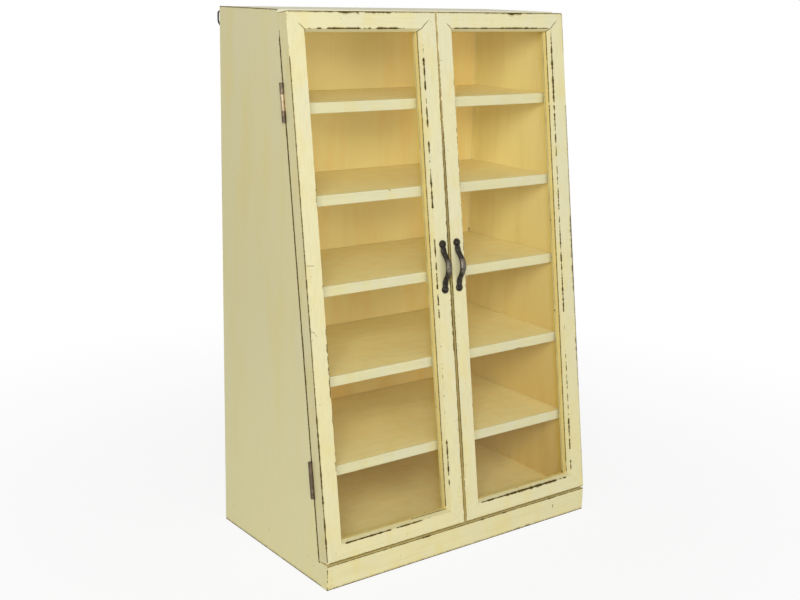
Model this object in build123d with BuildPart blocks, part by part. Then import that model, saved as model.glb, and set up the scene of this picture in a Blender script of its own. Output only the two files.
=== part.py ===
from build123d import *
from math import cos, radians, sin, tan
import os

# Glazed wooden display case whose front leans back: a box of six shelf spaces
# behind a pair of doors hung on butt hinges, with two D-ring hangers behind.
# Millimetres. +X right, +Y to the back, +Z up. The origin is the middle of the
# underside of the whole object, hangers and hinge barrels included.

# ---- driving dimensions ----
case_width = 360.0
case_height = 568.0
base_depth = 208.0
lean = 8.371  # degrees by which the front leans back from the vertical
side_thickness = 16.0
top_thickness = 16.0
shelf_thickness = 11.0
back_thickness = 3.2
plinth_thickness = 11.0
plinth_height = 26.5
ledge_height = 26.0  # step in the sides and floor under the doors
floor_top = 29.0
back_lift = 3.0  # the back panel stops this far above the table
shelf_tops = (479.5, 389.5, 300.0, 209.5, 118.5)
shelf_setback = 0.8
housing_depth = 4.0  # the shelves are let this far into the sides
edge_round = 0.8

door_bottom = 29.0  # height of the doors' lower front edge
door_length = 544.0  # measured up the slope
door_thickness = 15.0
door_clearance = 0.6  # behind the doors
meeting_gap_top = 1.2
meeting_gap_bottom = 3.2
worn_corner_round = 2.5
flat_width = 18.6  # of a stile, as are the next widths
bevel_width = 3.0
bevel_depth = 5.0
lip_depth = 10.5  # from the front to the back of the glazing lip
rebate_width = 5.0
glass_thickness = 2.0
glass_play = 0.5
bead_thickness = 2.3
bead_width = 4.6
rail_share = 0.9  # a rail is this much narrower than a stile, all through its section

hinge_inset = 85.0  # from a door's end to the middle of its hinge
hinge_length = 38.0
middle_knuckle = 16.0
knuckle_play = 0.1
barrel_radius = 2.0
barrel_gap = 0.1  # from the wood's side to the barrel
hinge_pin_radius = 0.9
fixed_bore_radius = 0.93
turning_bore_radius = 0.97
leaf_thickness = 1.0
leaf_gap = 0.1
leaf_width = 10.0
leaf_play = 0.1
leaf_screw_inset = 6.0
leaf_screw_spacing = 24.0
knuckle_arm = 1.0  # how far the wrap of a knuckle runs onto its leaf
hinge_pin_chamfer = 0.2

pull_height = 281.0  # up the slope to the middle of a pull
pull_x = 9.6
pull_centres = 48.0
pad_radius = 4.2
pad_thickness = 2.0
pad_round = 0.9
grip_rise = 9.3
grip_end_height = 1.5
grip_end_inset = 1.2  # from the pad's rim in to the end of the grip
# Share of the way along the grip, half width, half thickness, up to the middle.
grip_sections = ((0.0, 3.0, 1.3), (0.06, 3.6, 1.4), (0.15, 3.4, 1.8), (0.28, 3.2, 2.1), (0.5, 3.8, 2.5))

hanger_x = 171.5
hanger_plate_width = 9.0
hanger_plate_length = 34.0
hanger_plate_thickness = 1.3
hanger_plate_corner = 1.5
hanger_screw_drops = (20.0, 29.0)  # below the ring's pivot
ring_pivot_height = 562.6
ring_standoff = 4.0
ring_wire_radius = 0.9
ring_half_width = 8.0
ring_corner = 2.0
ring_leg = 6.1
ring_end_gap = 0.4
curl_bore_radius = 1.0
curl_radius = 2.3

screw_shank_radius = 1.1
screw_pilot_radius = 1.13
leaf_hole_radius = 1.18
countersink_radius = 2.2
screw_head_radius = 2.1
leaf_screw_length = 10.0
pull_screw_length = 11.0
pull_head_radius = 2.4
pull_head_height = 1.5
screw_slot = 0.5
hanger_screw_length = 12.0

nail_radius = 0.8
nail_head_radius = 1.4
nail_head_height = 0.8
nail_length = 30.0
plinth_nail_inset = 5.0
plinth_nail_heights = (4.0, 11.0, 21.0)
top_nail_setbacks = (18.0, 60.0, 102.0)  # from the back
floor_nail_setbacks = (18.0, 95.0, 172.0)
panel_pin_radius = 0.6
panel_pin_length = 14.0
panel_pin_places = (-140.0, 0.0, 140.0)
bead_pin_radius = 0.45
bead_pin_length = 8.0
pin_play = 0.02

# ---- places worked out from them ----
rear_reach = ring_standoff + curl_radius
front_y = -(base_depth + rear_reach) / 2
back_y = front_y + base_depth
back_panel_y = back_y - back_thickness
half_width = case_width / 2
inner_half_width = half_width - side_thickness
joint_depth = door_thickness + door_clearance
sight_width = flat_width + bevel_width
rebate_edge = sight_width - rebate_width
axis_depth = door_thickness + door_clearance / 2
axis_x = half_width + barrel_radius + barrel_gap
pull_head_crown = (pull_head_radius**2 + pull_head_height**2) / (2 * pull_head_height)

# The doors' front face. Its own x runs right, y up the slope, z out to the front.
door_plane = Plane(
    origin=(0, front_y, door_bottom),
    x_dir=(1, 0, 0),
    z_dir=(0, -cos(radians(lean)), sin(radians(lean))),
)


def on_door(x, up, out=0.0):
    """World point from a place on the doors' front face."""
    return door_plane.from_local_coords(Vector(x, up, out))


def door_direction(x, up, out=0.0):
    """World direction from one in the doors' front face."""
    return door_plane.x_dir * x + door_plane.y_dir * up + door_plane.z_dir * out


def front_of_case(height):
    """Y of the carcass's leaning front at a height."""
    return front_y + (height - door_bottom) * tan(radians(lean)) + joint_depth / cos(radians(lean))


def finish(part, name):
    part.label = name
    export_step(part, f"parts/{name}.step")


os.makedirs("parts", exist_ok=True)
sides = (("left", -1), ("right", 1))
hinge_places = (("top", door_length - hinge_inset), ("bottom", hinge_inset))


# ---- planes on which the fasteners stand, z pointing back out of the hole ----
def leaf_screw_planes(sign, out):
    """Planes of the screws in one side's leaves; out is 1 from the case, -1 from the door."""
    face_depth = axis_depth + out * leaf_gap / 2
    return [
        Plane(
            origin=on_door(sign * (half_width - leaf_screw_inset), place + offset, -face_depth),
            x_dir=(1, 0, 0),
            z_dir=door_direction(0, 0, out),
        )
        for _, place in hinge_places
        for offset in (-leaf_screw_spacing / 2, leaf_screw_spacing / 2)
    ]


def pull_screw_planes(sign):
    """Planes on the pads of one pull."""
    return [
        Plane(
            origin=on_door(sign * pull_x, pull_height + offset, pad_thickness),
            x_dir=(1, 0, 0),
            z_dir=door_direction(0, 0, 1),
        )
        for offset in (-pull_centres / 2, pull_centres / 2)
    ]


def hanger_screw_planes(sign):
    """Planes on one hanger's plate, below its ring."""
    return [
        Plane(
            origin=(sign * hanger_x, back_y + hanger_plate_thickness, ring_pivot_height - drop),
            x_dir=(1, 0, 0),
            z_dir=(0, 1, 0),
        )
        for drop in hanger_screw_drops
    ]


plinth_nail_planes = [
    Plane(
        origin=(sign * (half_width - plinth_nail_inset), front_y, height),
        x_dir=(1, 0, 0),
        z_dir=(0, -1, 0),
    )
    for _, sign in sides
    for height in plinth_nail_heights
]


def carcass_nail_planes(sign):
    """Planes on one side panel's outer face, over the ends of the top and the floor."""
    top_middle = case_height - top_thickness / 2
    floor_middle = floor_top - shelf_thickness / 2
    spots = [(setback, top_middle) for setback in top_nail_setbacks]
    spots += [(setback, floor_middle) for setback in floor_nail_setbacks]
    return [
        Plane(origin=(sign * half_width, back_y - setback, height), x_dir=(0, 1, 0), z_dir=(sign, 0, 0))
        for setback, height in spots
    ]


panel_pin_rows = [top - shelf_thickness / 2 for top in shelf_tops] + [floor_top - shelf_thickness / 2]
panel_pin_planes = [
    Plane(origin=(x, back_y, height), x_dir=(1, 0, 0), z_dir=(0, 1, 0))
    for height in panel_pin_rows
    for x in panel_pin_places
]


def drill(planes, radius, depth):
    """Straight holes into the part that is open."""
    with Locations(*planes):
        Hole(radius, depth=depth)


def nails(planes, radius, head_radius, length):
    """Nails driven flush, in the part that is open."""
    with Locations(*planes):
        Cylinder(radius, length, align=(Align.CENTER, Align.CENTER, Align.MAX))
        Cylinder(head_radius, nail_head_height, align=(Align.CENTER, Align.CENTER, Align.MAX))


def nail_holes(planes, radius, head_radius, depth):
    """Holes that those nails fill."""
    drill(planes, radius + pin_play, depth)
    drill(planes, head_radius + pin_play, nail_head_height + pin_play)


# ---- carcass ----
side_profile = [
    (back_y, 0),
    (back_y, case_height),
    (front_of_case(case_height), case_height),
    (front_of_case(ledge_height), ledge_height),
    (front_y + plinth_thickness, ledge_height),
    (front_y + plinth_thickness, 0),
]

for side, sign in sides:
    outer = sign * half_width
    inward = -sign
    with BuildPart() as side_panel:
        side_plane = Plane(origin=(outer, 0, 0), x_dir=(0, 1, 0), z_dir=(1, 0, 0))
        with BuildSketch(side_plane):
            Polygon(*side_profile, align=None)
        extrude(amount=inward * side_thickness)
        outer_edges = side_panel.edges().filter_by(lambda edge: abs(edge.center().X - outer) < 0.01)
        fillet(outer_edges.filter_by(Axis.Y), edge_round)
        inner_plane = side_plane.offset(inward * side_thickness)
        with BuildSketch(inner_plane):
            for top in shelf_tops:
                with Locations(((front_y + back_panel_y) / 2, top - shelf_thickness / 2)):
                    Rectangle(back_panel_y - front_y, shelf_thickness)
        extrude(amount=-inward * housing_depth, mode=Mode.SUBTRACT)
        for _, place in hinge_places:
            with BuildSketch(door_plane.offset(-joint_depth)):
                with Locations((outer + inward * leaf_width / 2, place)):
                    Rectangle(leaf_width + 2 * leaf_play, hinge_length + 2 * leaf_play)
            extrude(amount=-(axis_depth + leaf_gap / 2 + leaf_thickness - joint_depth), mode=Mode.SUBTRACT)
        drill(leaf_screw_planes(sign, 1), screw_pilot_radius, leaf_screw_length)
        drill([p for p in plinth_nail_planes if p.origin.X * sign > 0], nail_radius + pin_play, nail_length)
        nail_holes(carcass_nail_planes(sign), nail_radius, nail_head_radius, nail_length)
        drill(hanger_screw_planes(sign), screw_pilot_radius, hanger_screw_length)
    finish(side_panel.part, f"side_panel_{side}")

middle_plane = Plane(origin=(0, 0, 0), x_dir=(0, 1, 0), z_dir=(1, 0, 0))

with BuildPart() as top_panel:
    underside = case_height - top_thickness
    with BuildSketch(middle_plane):
        Polygon(
            (back_y, underside),
            (back_y, case_height),
            (front_of_case(case_height), case_height),
            (front_of_case(underside), underside),
            align=None,
        )
    extrude(amount=inner_half_width, both=True)
    for side, sign in sides:
        drill(carcass_nail_planes(sign), nail_radius + pin_play, nail_length)
finish(top_panel.part, "top_panel")

with BuildPart() as floor_panel:
    underside = floor_top - shelf_thickness
    with BuildSketch(middle_plane):
        Polygon(
            (back_panel_y, underside),
            (back_panel_y, floor_top),
            (front_of_case(floor_top), floor_top),
            (front_of_case(ledge_height), ledge_height),
            (front_y + plinth_thickness, ledge_height),
            (front_y + plinth_thickness, underside),
            align=None,
        )
    extrude(amount=inner_half_width, both=True)
    for side, sign in sides:
        drill(carcass_nail_planes(sign), nail_radius + pin_play, nail_length)
    drill(panel_pin_planes, panel_pin_radius + pin_play, panel_pin_length)
finish(floor_panel.part, "floor_panel")

with BuildPart() as back_panel:
    with BuildSketch(Plane.XY.offset(back_lift)):
        with Locations((0, back_panel_y + back_thickness / 2)):
            Rectangle(2 * inner_half_width, back_thickness)
    extrude(amount=case_height - top_thickness - back_lift)
    nail_holes(panel_pin_planes, panel_pin_radius, nail_head_radius, panel_pin_length)
finish(back_panel.part, "back_panel")

with BuildPart() as plinth_front:
    with BuildSketch(Plane.XY):
        with Locations((0, front_y + plinth_thickness / 2)):
            Rectangle(case_width, plinth_thickness)
    extrude(amount=plinth_height)
    front_edges = plinth_front.edges().filter_by(lambda edge: abs(edge.center().Y - front_y) < 0.01)
    fillet(front_edges, edge_round)
    nail_holes(plinth_nail_planes, nail_radius, nail_head_radius, nail_length)
finish(plinth_front.part, "plinth_front")

for number, top in enumerate(shelf_tops, start=1):
    shelf_front = front_of_case(top) + shelf_setback
    with BuildPart() as shelf:
        with BuildSketch(Plane.XY.offset(top - shelf_thickness)):
            with Locations((0, (shelf_front + back_panel_y) / 2)):
                Rectangle(2 * (inner_half_width + housing_depth), back_panel_y - shelf_front)
        extrude(amount=shelf_thickness)
        front_edges = shelf.edges().filter_by(Axis.X).filter_by(
            lambda edge: abs(edge.center().Y - shelf_front) < 0.01
        )
        fillet(front_edges, edge_round)
        drill(panel_pin_planes, panel_pin_radius + pin_play, panel_pin_length)
    finish(shelf.part, f"shelf_{number}")

with BuildPart() as plinth_nails:
    nails(plinth_nail_planes, nail_radius, nail_head_radius, nail_length)
finish(plinth_nails.part, "plinth_nails")

with BuildPart() as carcass_nails:
    for side, sign in sides:
        nails(carcass_nail_planes(sign), nail_radius, nail_head_radius, nail_length)
finish(carcass_nails.part, "carcass_nails")

with BuildPart() as back_panel_pins:
    nails(panel_pin_planes, panel_pin_radius, nail_head_radius, panel_pin_length)
finish(back_panel_pins.part, "back_panel_pins")


# ---- hinges ----
def make_leaf(sign, place, out, own_knuckles, bore_radius):
    """One hinge leaf: its plate, its own knuckles and their bore. out is 1 on the case."""
    near_depth = axis_depth + out * leaf_gap / 2
    clear_of_barrel = half_width - 2 * barrel_gap
    plate_width = clear_of_barrel - half_width + leaf_width
    along_axis = door_direction(0, 1)
    with BuildPart() as hinge_leaf:
        with BuildSketch(door_plane.offset(-near_depth)):
            with Locations((sign * (clear_of_barrel - plate_width / 2), place)):
                Rectangle(plate_width, hinge_length)
            for low, high in own_knuckles:
                arm_middle = (axis_x + clear_of_barrel - knuckle_arm) / 2
                with Locations((sign * arm_middle, place + (low + high) / 2)):
                    Rectangle(axis_x - clear_of_barrel + knuckle_arm, high - low)
        extrude(amount=-out * leaf_thickness)
        for low, high in own_knuckles:
            knuckle_end = on_door(sign * axis_x, place + low, -axis_depth)
            with BuildSketch(Plane(origin=knuckle_end, x_dir=(1, 0, 0), z_dir=along_axis)):
                Circle(barrel_radius)
            extrude(amount=high - low)
        barrel_end = on_door(sign * axis_x, place - hinge_length / 2, -axis_depth)
        with BuildSketch(Plane(origin=barrel_end, x_dir=(1, 0, 0), z_dir=along_axis)):
            Circle(bore_radius)
        extrude(amount=hinge_length, mode=Mode.SUBTRACT)
        screw_planes = [
            plane
            for plane in leaf_screw_planes(sign, out)
            if abs(door_plane.to_local_coords(plane.origin).Y - place) < hinge_length
        ]
        with Locations(*screw_planes):
            CounterSinkHole(
                leaf_hole_radius, countersink_radius, depth=2 * leaf_thickness, counter_sink_angle=90
            )
    return hinge_leaf.part


half_middle = middle_knuckle / 2
end_knuckles = (
    (-hinge_length / 2, -half_middle - knuckle_play),
    (half_middle + knuckle_play, hinge_length / 2),
)

for side, sign in sides:
    for level, place in hinge_places:
        case_leaf = make_leaf(sign, place, 1, end_knuckles, fixed_bore_radius)
        finish(case_leaf, f"hinge_{side}_{level}_case_leaf")
        door_leaf = make_leaf(sign, place, -1, ((-half_middle, half_middle),), turning_bore_radius)
        finish(door_leaf, f"hinge_{side}_{level}_door_leaf")

        with BuildPart() as hinge_pin:
            pin_plane = Plane(
                origin=on_door(sign * axis_x, place - hinge_length / 2, -axis_depth),
                x_dir=(1, 0, 0),
                z_dir=door_direction(0, 1),
            )
            with BuildSketch(pin_plane):
                Circle(hinge_pin_radius)
            extrude(amount=hinge_length)
            chamfer(hinge_pin.edges().filter_by(GeomType.CIRCLE), hinge_pin_chamfer)
        finish(hinge_pin.part, f"hinge_{side}_{level}_pin")


def countersunk_screws(planes, length):
    """Countersunk screws with their heads flush, in the part that is open."""
    head_height = screw_head_radius - screw_shank_radius
    with Locations(*planes):
        Cone(
            screw_shank_radius,
            screw_head_radius,
            head_height,
            align=(Align.CENTER, Align.CENTER, Align.MAX),
        )
        Cylinder(screw_shank_radius, length, align=(Align.CENTER, Align.CENTER, Align.MAX))
        Box(
            2 * screw_head_radius,
            screw_slot,
            screw_slot,
            align=(Align.CENTER, Align.CENTER, Align.MAX),
            mode=Mode.SUBTRACT,
        )


with BuildPart() as case_hinge_screws:
    for side, sign in sides:
        countersunk_screws(leaf_screw_planes(sign, 1), leaf_screw_length)
finish(case_hinge_screws.part, "case_hinge_screws")

# ---- hangers ----
for side, sign in sides:
    plate_top = ring_pivot_height + curl_radius
    with BuildPart() as hanger_plate:
        with BuildSketch(Plane(origin=(0, back_y, 0), x_dir=(1, 0, 0), z_dir=(0, -1, 0))):
            with Locations((sign * hanger_x, plate_top - hanger_plate_length / 2)):
                RectangleRounded(hanger_plate_width, hanger_plate_length, hanger_plate_corner)
        extrude(amount=-hanger_plate_thickness)
        curl_plane = Plane(
            origin=(sign * hanger_x, back_y + ring_standoff, ring_pivot_height),
            x_dir=(0, 1, 0),
            z_dir=(1, 0, 0),
        )
        with BuildSketch(curl_plane):
            Circle(curl_radius)
            with Locations((-ring_standoff / 2, 0)):
                Rectangle(ring_standoff, 2 * curl_radius)
        extrude(amount=hanger_plate_width / 2, both=True)
        with BuildSketch(curl_plane):
            Circle(curl_bore_radius)
        extrude(amount=hanger_plate_width, both=True, mode=Mode.SUBTRACT)
        with Locations(*hanger_screw_planes(sign)):
            CounterSinkHole(
                leaf_hole_radius, countersink_radius, depth=2 * hanger_plate_thickness, counter_sink_angle=90
            )
    finish(hanger_plate.part, f"hanger_plate_{side}")

    with BuildPart() as hanger_ring:
        ring_plane = Plane(
            origin=(sign * hanger_x, back_y + ring_standoff, ring_pivot_height),
            x_dir=(1, 0, 0),
            z_dir=(0, -1, 0),
        )
        reach = ring_half_width
        with BuildLine(ring_plane) as ring_path:
            start = Line((ring_end_gap / 2, 0), (reach - ring_corner, 0))
            corner = JernArc(start @ 1, start % 1, ring_corner, -90)
            leg = Line(corner @ 1, (reach, -ring_corner - ring_leg))
            bow = JernArc(leg @ 1, leg % 1, reach, -180)
            far_leg = Line(bow @ 1, (-reach, -ring_corner))
            far_corner = JernArc(far_leg @ 1, far_leg % 1, ring_corner, -90)
            Line(far_corner @ 1, (-ring_end_gap / 2, 0))
        wire_end = Plane(origin=ring_path.line @ 0, x_dir=(0, 1, 0), z_dir=ring_path.line % 0)
        with BuildSketch(wire_end):
            Circle(ring_wire_radius)
        sweep(path=ring_path.line)
    finish(hanger_ring.part, f"hanger_ring_{side}")

with BuildPart() as hanger_screws:
    for side, sign in sides:
        countersunk_screws(hanger_screw_planes(sign), hanger_screw_length)
finish(hanger_screws.part, "hanger_screws")


# ---- doors ----
def member_plane(start, end):
    """Section plane at a member's start: x in towards the glass, y out to the front."""
    run = (Vector(*end) - Vector(*start)).normalized()
    return Plane(
        origin=on_door(*start),
        x_dir=door_direction(-run.Y, run.X),
        z_dir=door_direction(run.X, run.Y),
    )


def width_share(start, end):
    """A member's width as a share of a stile's: stiles run up the door, rails across it."""
    return 1.0 if start[0] == end[0] else rail_share


def mitre(plane, length, share):
    """Cut both ends of the part that is open along lines from outer corner to inner corner."""
    slope = rail_share / share**2
    split(bisect_by=Plane(origin=plane.origin, z_dir=plane.z_dir - plane.x_dir * slope), keep=Keep.TOP)
    far_end = plane.origin + plane.z_dir * length
    split(bisect_by=Plane(origin=far_end, z_dir=plane.z_dir * -1 - plane.x_dir * slope), keep=Keep.TOP)


def bead_pin_planes(start, end):
    """Pins through one bead into the wall of the rebate."""
    plane = member_plane(start, end)
    length = (Vector(*end) - Vector(*start)).length
    inner_edge = width_share(start, end) * (rebate_edge + bead_width)
    depth = lip_depth + glass_thickness + bead_thickness / 4
    count = 3 if length > door_length / 2 else 2
    spots = [length * (index + 0.5) / count for index in range(count)]
    return [
        Plane(
            origin=plane.origin
            + plane.z_dir * spot
            + plane.x_dir * inner_edge
            - plane.y_dir * depth,
            x_dir=plane.y_dir,
            z_dir=plane.x_dir,
        )
        for spot in spots
    ]


def make_member(sign, name, start, end):
    """One mitred member of a door frame, drilled and recessed for what it carries."""
    plane = member_plane(start, end)
    length = (Vector(*end) - Vector(*start)).length
    share = width_share(start, end)
    with BuildPart() as member:
        with BuildSketch(plane):
            with BuildLine():
                Polyline(
                    (edge_round, 0),
                    (share * flat_width, 0),
                    (share * sight_width, -bevel_depth),
                    (share * sight_width, -lip_depth),
                    (share * rebate_edge, -lip_depth),
                    (share * rebate_edge, -door_thickness),
                    (0, -door_thickness),
                    (0, -edge_round),
                )
                CenterArc((edge_round, -edge_round), edge_round, 90, 90)
            make_face()
        extrude(amount=length)
        mitre(plane, length, share)

        # The meeting edge is planed to a taper, and the right door's top corner is worn round.
        top_corner_round = worn_corner_round if sign > 0 else edge_round
        with BuildSketch(door_plane) as door_outline:
            Polygon(
                (sign * meeting_gap_top / 2, door_length),
                (sign * meeting_gap_bottom / 2, 0),
                (sign * half_width, 0),
                (sign * half_width, door_length),
                align=None,
            )
            for row, corner_round in ((0, edge_round), (-1, top_corner_round)):
                end_corners = door_outline.vertices().group_by(Axis.Y)[row].sort_by(Axis.X)
                fillet(end_corners[0 if sign < 0 else -1], corner_round)
        extrude(amount=-door_thickness, mode=Mode.INTERSECT)

        drill(bead_pin_planes(start, end), bead_pin_radius + pin_play, bead_pin_length)
        if name == "hinge_stile":
            with BuildSketch(door_plane.offset(-door_thickness)):
                for _, place in hinge_places:
                    with Locations((sign * (half_width - leaf_width / 2), place)):
                        Rectangle(leaf_width + 2 * leaf_play, hinge_length + 2 * leaf_play)
            recess = door_thickness - (axis_depth - leaf_gap / 2 - leaf_thickness)
            extrude(amount=recess, mode=Mode.SUBTRACT)
            drill(leaf_screw_planes(sign, -1), screw_pilot_radius, leaf_screw_length)
        if name == "meeting_stile":
            drill(pull_screw_planes(sign), screw_pilot_radius, pull_screw_length)
    return member.part


def make_bead(start, end):
    """One mitred glazing bead, splayed behind."""
    plane = member_plane(start, end)
    length = (Vector(*end) - Vector(*start)).length
    share = width_share(start, end)
    wall = share * rebate_edge
    inner_edge = share * (rebate_edge + bead_width)
    front = lip_depth + glass_thickness
    rear = front + bead_thickness
    splay = bead_thickness / 2
    with BuildPart() as bead:
        with BuildSketch(plane):
            Polygon(
                (wall, -front),
                (inner_edge, -front),
                (inner_edge, -front - splay),
                (inner_edge - share * splay, -rear),
                (wall, -rear),
                align=None,
            )
        extrude(amount=length)
        mitre(plane, length, share)
        drill(bead_pin_planes(start, end), bead_pin_radius + pin_play, bead_pin_length)
    return bead.part


for side, sign in sides:
    low_x, high_x = sorted((sign * half_width, sign * meeting_gap_top / 2))
    corners = [(low_x, 0), (high_x, 0), (high_x, door_length), (low_x, door_length)]
    low_name, high_name = ("hinge_stile", "meeting_stile") if sign < 0 else ("meeting_stile", "hinge_stile")
    runs = (
        ("bottom_rail", corners[0], corners[1]),
        (high_name, corners[1], corners[2]),
        ("top_rail", corners[2], corners[3]),
        (low_name, corners[3], corners[0]),
    )

    for name, start, end in runs:
        finish(make_member(sign, name, start, end), f"door_{side}_{name}")
        finish(make_bead(start, end), f"door_{side}_bead_{name.split('_')[0]}")

    with BuildPart() as glass:
        pane_width = high_x - low_x - 2 * (rebate_edge + glass_play)
        pane_length = door_length - 2 * (rail_share * rebate_edge + glass_play)
        with BuildSketch(door_plane.offset(-lip_depth - glass_thickness)):
            with Locations(((low_x + high_x) / 2, door_length / 2)):
                Rectangle(pane_width, pane_length)
        extrude(amount=glass_thickness)
    finish(glass.part, f"door_{side}_glass")

    with BuildPart() as bead_pins:
        for name, start, end in runs:
            with Locations(*bead_pin_planes(start, end)):
                Cylinder(bead_pin_radius, bead_pin_length, align=(Align.CENTER, Align.CENTER, Align.MAX))
    finish(bead_pins.part, f"door_{side}_bead_pins")

    with BuildPart() as door_hinge_screws:
        countersunk_screws(leaf_screw_planes(sign, -1), leaf_screw_length)
    finish(door_hinge_screws.part, f"door_{side}_hinge_screws")

    # Bow pull: two round pads, and a grip that lies low beside them and bows out in the middle.
    grip_reach = pull_centres / 2 - pad_radius + grip_end_inset
    grip_plane = Plane(
        origin=on_door(sign * pull_x, pull_height),
        x_dir=door_direction(0, 1),
        z_dir=(1, 0, 0),
    )
    far_sections = [(1 - at, wide, thick) for at, wide, thick in reversed(grip_sections[:-1])]
    with BuildPart() as pull:
        with Locations(*[p.offset(-pad_thickness) for p in pull_screw_planes(sign)]):
            Cylinder(pad_radius, pad_thickness, align=(Align.CENTER, Align.CENTER, Align.MIN))
        rims = pull.edges().filter_by(GeomType.CIRCLE).filter_by(
            lambda edge: door_plane.to_local_coords(edge.center()).Z > pad_thickness / 2
        )
        fillet(rims, pad_round)
        with BuildLine(grip_plane) as grip_line:
            Bezier(
                (-grip_reach, grip_end_height),
                (-grip_reach / 2, grip_end_height),
                (-grip_reach / 2, grip_rise),
                (0, grip_rise),
            )
            Bezier(
                (0, grip_rise),
                (grip_reach / 2, grip_rise),
                (grip_reach / 2, grip_end_height),
                (grip_reach, grip_end_height),
            )
        for at, wide, thick in [*grip_sections, *far_sections]:
            section_plane = Plane(
                origin=grip_line.line @ at, x_dir=(1, 0, 0), z_dir=grip_line.line % at
            )
            with BuildSketch(section_plane):
                Ellipse(wide, thick)
        loft()
        with Locations(*pull_screw_planes(sign)):
            Hole(leaf_hole_radius, depth=pad_thickness)
    finish(pull.part, f"door_{side}_pull")

    with BuildPart() as pull_screws:
        with Locations(*pull_screw_planes(sign)):
            Cylinder(
                screw_shank_radius, pull_screw_length, align=(Align.CENTER, Align.CENTER, Align.MAX)
            )
        for plane in pull_screw_planes(sign):
            dome_plane = Plane(origin=plane.origin, x_dir=plane.x_dir, z_dir=plane.x_dir.cross(plane.z_dir))
            with BuildSketch(dome_plane):
                with BuildLine():
                    Line((0, 0), (0, pull_head_height))
                    RadiusArc((0, pull_head_height), (pull_head_radius, 0), pull_head_crown)
                    Line((pull_head_radius, 0), (0, 0))
                make_face()
            revolve(axis=Axis(plane.origin, plane.z_dir))
    finish(pull_screws.part, f"door_{side}_pull_screws")
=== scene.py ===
import math

import bpy
from mathutils import Matrix, Vector


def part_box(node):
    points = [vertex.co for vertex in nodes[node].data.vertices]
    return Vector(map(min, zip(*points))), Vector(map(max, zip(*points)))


# The looks of a glazed, painted display case. Shapes come from the frame; this script gives them
# their paint, wear, glass and metal, and sets the floor, the lamps and the camera. Metres, with
# millimetres inside the materials, where every place is the frame's own multiplied by a thousand.
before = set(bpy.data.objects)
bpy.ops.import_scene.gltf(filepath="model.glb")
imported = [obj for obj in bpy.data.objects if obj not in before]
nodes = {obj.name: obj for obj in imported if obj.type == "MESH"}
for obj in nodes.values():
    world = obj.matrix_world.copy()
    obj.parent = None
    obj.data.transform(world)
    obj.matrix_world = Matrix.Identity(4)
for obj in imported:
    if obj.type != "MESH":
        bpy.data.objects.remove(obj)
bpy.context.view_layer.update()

MM = 1000  # millimetres in a metre

# ---- the case's own measures, in millimetres ----
HALF_WIDTH = 180.0
INNER_HALF_WIDTH = 164.0
CASE_HEIGHT = 568.0
FRONT_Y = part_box("plinth_front")[0].y * MM
PLINTH_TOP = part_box("plinth_front")[1].z * MM
BACK_PANEL_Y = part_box("back_panel")[0].y * MM
LEAN = math.radians(8.371)
DOOR_BOTTOM = 29.0
DOOR_LENGTH = 544.0
DOOR_THICKNESS = 15.0
JOINT_DEPTH = 15.6
MEETING_HALF_GAP_TOP = 0.6
MEETING_HALF_GAP_BOTTOM = 1.6
FLAT_WIDTH = 18.6
SIGHT_WIDTH = 21.6
BEVEL_DEPTH = 5.0
LIP_DEPTH = 10.5
RAIL_SHARE = 0.9
UP_SLOPE = Vector((0.0, math.sin(LEAN), math.cos(LEAN)))
OUT_OF_DOOR = Vector((0.0, -math.cos(LEAN), math.sin(LEAN)))
DOOR_FOOT = Vector((0.0, FRONT_Y, DOOR_BOTTOM))

# The size of the brush marks along x, y and z, on the boards and on the finer door frames.
BRUSHED_ACROSS = (60, 2.4, 2.4)
BRUSHED_UPRIGHT = (2.4, 2.4, 70)
DOOR_BRUSHED_ACROSS = (60, 2.2, 2.2)
DOOR_BRUSHED_UPRIGHT = (2.2, 2.2, 60)
BEAD_BRUSHED = (3, 3, 30)

# ---- colours, as linear light ----
PAINT = (0.76, 0.705, 0.415)
PAINT_GREY = (0.745, 0.70, 0.455)
PAINT_YELLOW = (0.755, 0.67, 0.33)
PAINT_LOW = (0.88, 0.82, 0.45)
# The case's inner coat, with its own copy for the back, the right wall and the shelves, each
# made lighter or darker to match how light falls on that surface: where it is fresher, and where
# it is yellower and more orange, which stands for yellowing in blotches and for painted shade
# where it is laid on evenly.
INSIDE = ((0.97, 0.80, 0.30), (0.91, 0.70, 0.22))
INSIDE_BACK = ((0.98, 0.82, 0.34), (0.95, 0.62, 0.13))
INSIDE_RIGHT = ((0.98, 0.86, 0.37), (0.69, 0.48, 0.115))
INSIDE_SHELF = ((0.98, 0.84, 0.365), (0.94, 0.73, 0.245))
RUBBED = (0.45, 0.36, 0.12)
GOLDEN_EDGE = (0.76, 0.62, 0.24)
OLIVE_GAP = (0.10, 0.07, 0.018)
BARE_WOOD = (0.042, 0.027, 0.003)
BARE_WOOD_PALE = (0.125, 0.087, 0.018)
# A brown dirt colour, also laid on as painted shade in the case's inner corners.
DIRT_AND_SHADE = (0.30, 0.22, 0.09)
# A pale dust colour, greyer than the paint: partly dust, partly a painted sheen on top faces.
DUST_AND_SHEEN = (0.81, 0.78, 0.58)
RUSTY_PAINT = (0.40, 0.31, 0.14)
# Each metal: its dark patina, its brighter metal, and its least roughness.
DARK_BRONZE = ((0.024, 0.020, 0.015), (0.20, 0.172, 0.13), 0.16)
OLD_BRASS = ((0.11, 0.080, 0.055), (0.26, 0.20, 0.13), 0.34)
# A brighter copy of the old brass: a painted highlight for the knuckle of the one hinge leaf that
# catches the light.
BRASS_PAINTED_HIGHLIGHT = ((0.34, 0.26, 0.16), (0.55, 0.44, 0.30), 0.30)
DULL_STEEL = ((0.045, 0.042, 0.040), (0.16, 0.15, 0.14), 0.35)


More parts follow.
